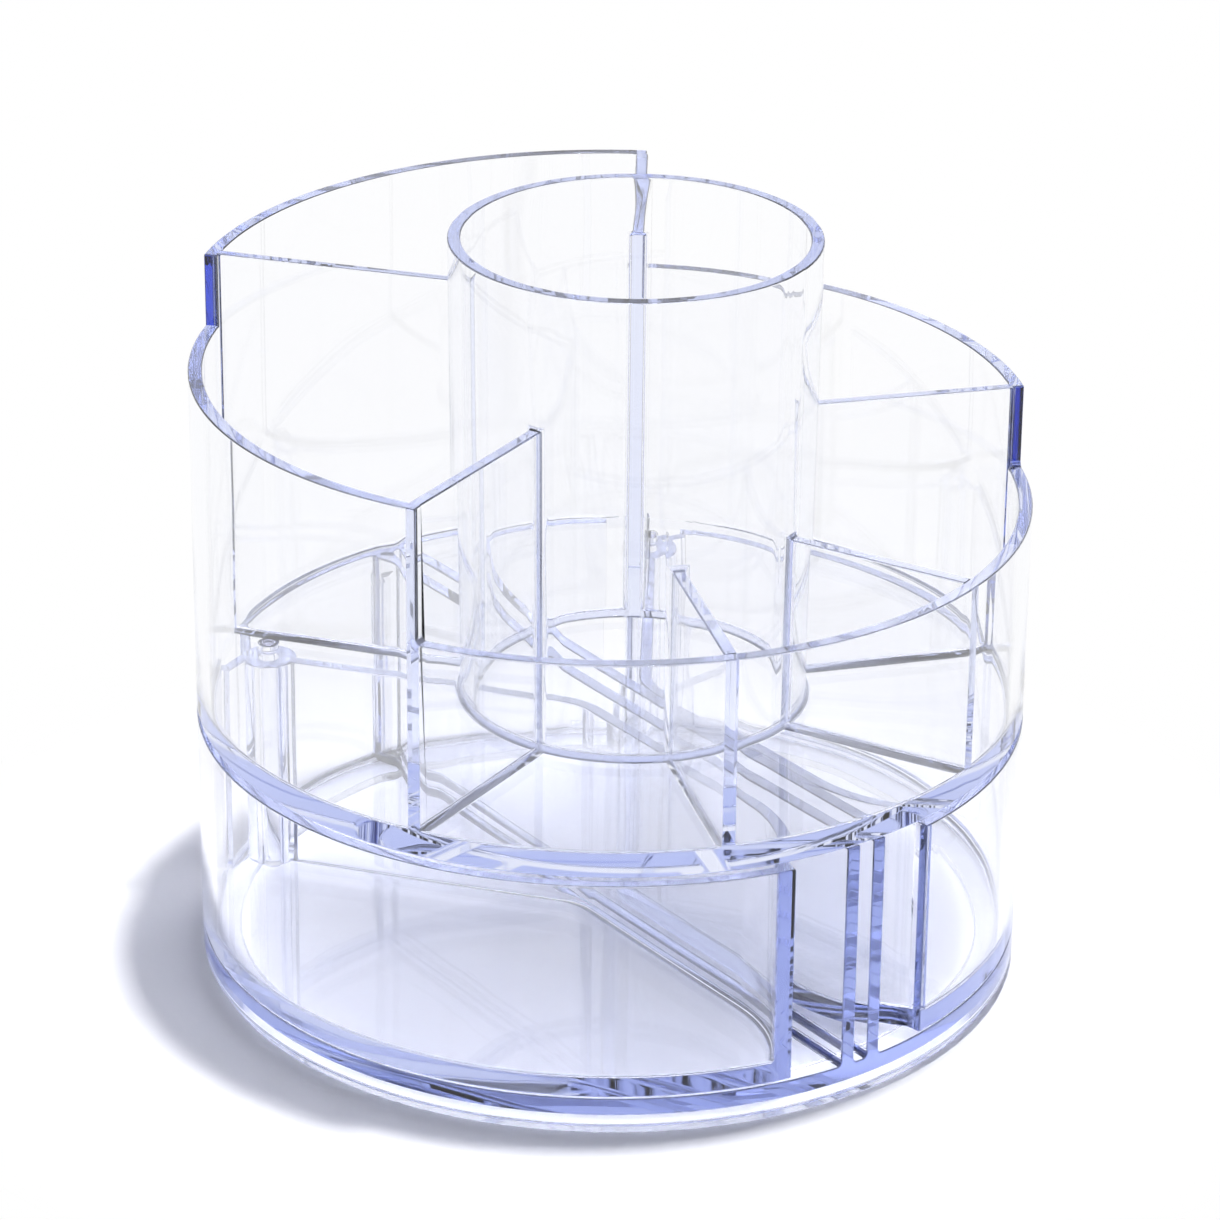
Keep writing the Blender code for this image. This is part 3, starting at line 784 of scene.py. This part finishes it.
def drawer_walls(side):
    """Model a drawer's floor and walls."""
    points = outline_points(side)
    deselect()
    bpy.ops.mesh.primitive_circle_add(vertices=len(points), radius=SHELL_RADIUS, fill_type="NGON",
                                      location=(0, 0, DRAWER_BOTTOM))
    drawer = bpy.context.object
    apply_place(drawer)
    for vertex, point in zip(drawer.data.vertices, points):
        vertex.co.xy = point.xy
    start_edit(drawer, "FACE")
    bpy.ops.mesh.select_all(action="SELECT")
    bpy.ops.mesh.extrude_region_move(TRANSFORM_OT_translate={"value": (0, 0, DRAWER_FLOOR_TOP - DRAWER_BOTTOM)})
    bpy.ops.mesh.select_all(action="SELECT")
    bpy.ops.mesh.normals_make_consistent(inside=False)
    pick_faces(drawer, lambda middle, normal: normal.z > UPWARD)
    bpy.ops.mesh.inset(thickness=DRAWER_WALL)
    bpy.ops.mesh.remove_doubles(threshold=SHORT_EDGE)
    bm = bmesh.from_edit_mesh(drawer.data)
    flat = sorted((f for f in bm.faces if f.normal.z > UPWARD), key=lambda f: f.calc_area())
    for face in bm.faces:
        face.select_set(False)
    for face in flat[:-1]:
        face.select_set(True)
    bmesh.update_edit_mesh(drawer.data)
    bpy.ops.mesh.extrude_region_move(TRANSFORM_OT_translate={"value": (0, 0, DRAWER_TOP - DRAWER_FLOOR_TOP)})
    bpy.ops.object.mode_set(mode="OBJECT")
    return drawer


# %% [markdown]
# The barrel is the tube of plastic that the pin passes through. It is a plain cylinder, a hair inside the
# outline's lobe, so that no two faces lie in one place, and it is joined and then drilled.

# %% Drawer barrel
BARREL_RADIUS, BARREL_INSET = 6.2 * MM, 0.15 * MM


def join_barrel(drawer, side):
    """Join the barrel to a drawer and drill it."""
    hinge = Matrix.Rotation(math.radians(DIVIDER_ANGLE), 3, "Z") @ Vector((HINGE.x, HINGE.y * side, 0.0))
    deselect()
    bpy.ops.mesh.primitive_cylinder_add(vertices=PIN_FACETS, radius=BARREL_RADIUS - BARREL_INSET,
                                        depth=DRAWER_TOP - DRAWER_FLOOR_TOP + SINK,
                                        location=(hinge.x, hinge.y, (DRAWER_TOP + DRAWER_FLOOR_TOP - SINK) / 2))
    barrel = bpy.context.object
    apply_place(barrel)
    boolean(drawer, barrel, "UNION")
    drill(drawer, hinge, DRAWER_BOTTOM - MARGIN, DRAWER_TOP + MARGIN)


# %% [markdown]
# The front drawer swings out about the left pin and the right one about the back pin. Of their inner corners,
# those at the foot of the walls are rounded. The bent walls are made of short straight pieces, and fillets up the
# corners between them would cross.

# %% Both drawers
DRAWER_FILLET = 1.6 * MM


def drawer_fillet(edge):
    """Pick the level inner edges, away from the pin."""
    return away_from_pins(edge) and abs(edge.verts[0].co.z - edge.verts[1].co.z) < SMALL


for side, body in ((-1, "front_drawer"), (1, "right_drawer")):
    drawer = drawer_walls(side)
    join_barrel(drawer, side)
    soften(drawer, DRAWER_FILLET, SOFT_EDGE, drawer_fillet)
    finish_piece(drawer, body + "_moulding", drawer_plastic, "drawer_plastic", body,
                 *[body + end for end in ("_floor", "_outer_wall", "_inner_wall", "_barrel")])

# %% [markdown]
# Each drawer turns on a clear rod. Its ends are bevelled, as a turned rod's are, and two insets and a small drop
# give its head the shallow dish that catches the light in the tray's floor.

# %% Pins
PIN_BOTTOM = 6.0 * MM
CHAMFER = 0.3 * MM
DISH_RIM, DISH_SLOPE, DISH_DEPTH = 0.5 * MM, 0.3 * MM, 0.3 * MM
for which, place in PIN_PLACES.items():
    deselect()
    bpy.ops.mesh.primitive_cylinder_add(vertices=PIN_FACETS, radius=PIN_RADIUS, depth=TRAY_TOP - PIN_BOTTOM,
                                        location=(place.x, place.y, (TRAY_TOP + PIN_BOTTOM) / 2))
    pin = bpy.context.object
    apply_place(pin)
    start_edit(pin, "FACE")
    pick_faces(pin, lambda middle, normal: abs(normal.z) > UPWARD)
    bpy.ops.mesh.bevel(offset=CHAMFER, segments=EDGE_STEPS, affect="EDGES")
    start_edit(pin, "FACE")
    pick_faces(pin, lambda middle, normal: normal.z > 0.99 and middle.z > TRAY_TOP - 0.05 * MM)
    bpy.ops.mesh.inset(thickness=DISH_RIM)
    bpy.ops.mesh.inset(thickness=DISH_SLOPE)
    bpy.ops.transform.translate(value=(0, 0, -DISH_DEPTH))
    bpy.ops.object.mode_set(mode="OBJECT")
    finish_piece(pin, which + "_pin_rod", pin_plastic, "pin_plastic", "organizer", which + "_hinge_pin")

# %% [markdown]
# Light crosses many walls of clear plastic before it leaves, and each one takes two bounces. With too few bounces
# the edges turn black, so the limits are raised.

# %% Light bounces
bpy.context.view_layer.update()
BOUNCES = 32
bpy.context.scene.cycles.max_bounces = BOUNCES
bpy.context.scene.cycles.glossy_bounces = BOUNCES
bpy.context.scene.cycles.transmission_bounces = BOUNCES
print("light bounces", BOUNCES)
